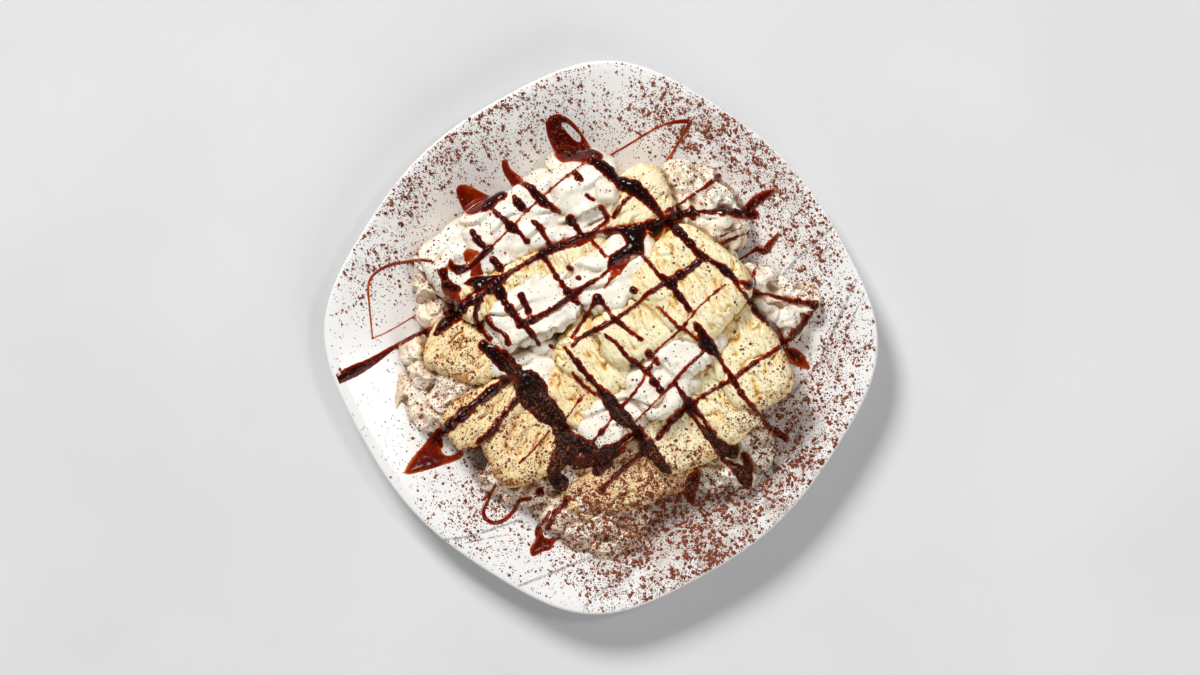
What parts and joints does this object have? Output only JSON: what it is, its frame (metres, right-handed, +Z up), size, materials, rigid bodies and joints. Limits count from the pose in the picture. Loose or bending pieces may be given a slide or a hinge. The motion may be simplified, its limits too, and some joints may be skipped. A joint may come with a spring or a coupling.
{
  "type": "banana split on a plate",
  "caption": "Banana split: slabs of vanilla ice cream, whipped cream and a banana half under drizzled chocolate sauce, on a rounded-square plate.",
  "frame": {"origin": "middle of the plate's foot, on the surface it stands on", "axes": "+X to the right and +Y to the back of the plate as seen from above with one corner towards the front, +Z up"},
  "size_m": [0.2696, 0.2696, 0.0537],
  "materials": {
    "porcelain": "white glazed porcelain, glossy, with thin grey strokes on the rim",
    "vanilla_ice_cream": "pale yellow ice cream, scraped and slightly wet, with cocoa specks",
    "whipped_cream": "soft white whipped cream with a dull sheen, with cocoa specks",
    "banana_flesh": "banana half under a dense dusting of cocoa",
    "chocolate_sauce": "glossy chocolate sauce, nearly black where thick and red-brown where thin",
    "cocoa": "matte cocoa grains"
  },
  "bodies": {
    "root": {"banana_half": "banana_flesh", "cream_back_right": "whipped_cream", "cream_band_lower": "whipped_cream", "cream_band_middle": "whipped_cream", "cream_band_upper": "whipped_cream", "cream_cross_lower": "whipped_cream", "cream_cross_upper": "whipped_cream", "cream_dollop_top": "whipped_cream", "cream_front": "whipped_cream", "cream_front_left": "whipped_cream", "cream_front_right": "whipped_cream", "cream_hook": "whipped_cream", "cream_left": "whipped_cream", "cream_left_edge": "whipped_cream", "cream_middle_left": "whipped_cream", "cream_middle_right": "whipped_cream", "cream_right": "whipped_cream", "cream_right_seam": "whipped_cream", "cream_valley": "whipped_cream", "ice_cream_centre_left": "vanilla_ice_cream", "ice_cream_centre_low": "vanilla_ice_cream", "ice_cream_front_left": "vanilla_ice_cream", "ice_cream_left": "vanilla_ice_cream", "ice_cream_low": "vanilla_ice_cream", "ice_cream_lower_left": "vanilla_ice_cream", "ice_cream_lower_right": "vanilla_ice_cream", "ice_cream_middle": "vanilla_ice_cream", "ice_cream_right": "vanilla_ice_cream", "ice_cream_strip": "vanilla_ice_cream", "ice_cream_upper": "vanilla_ice_cream", "plate": "porcelain"}
  },
  "joints": []
}
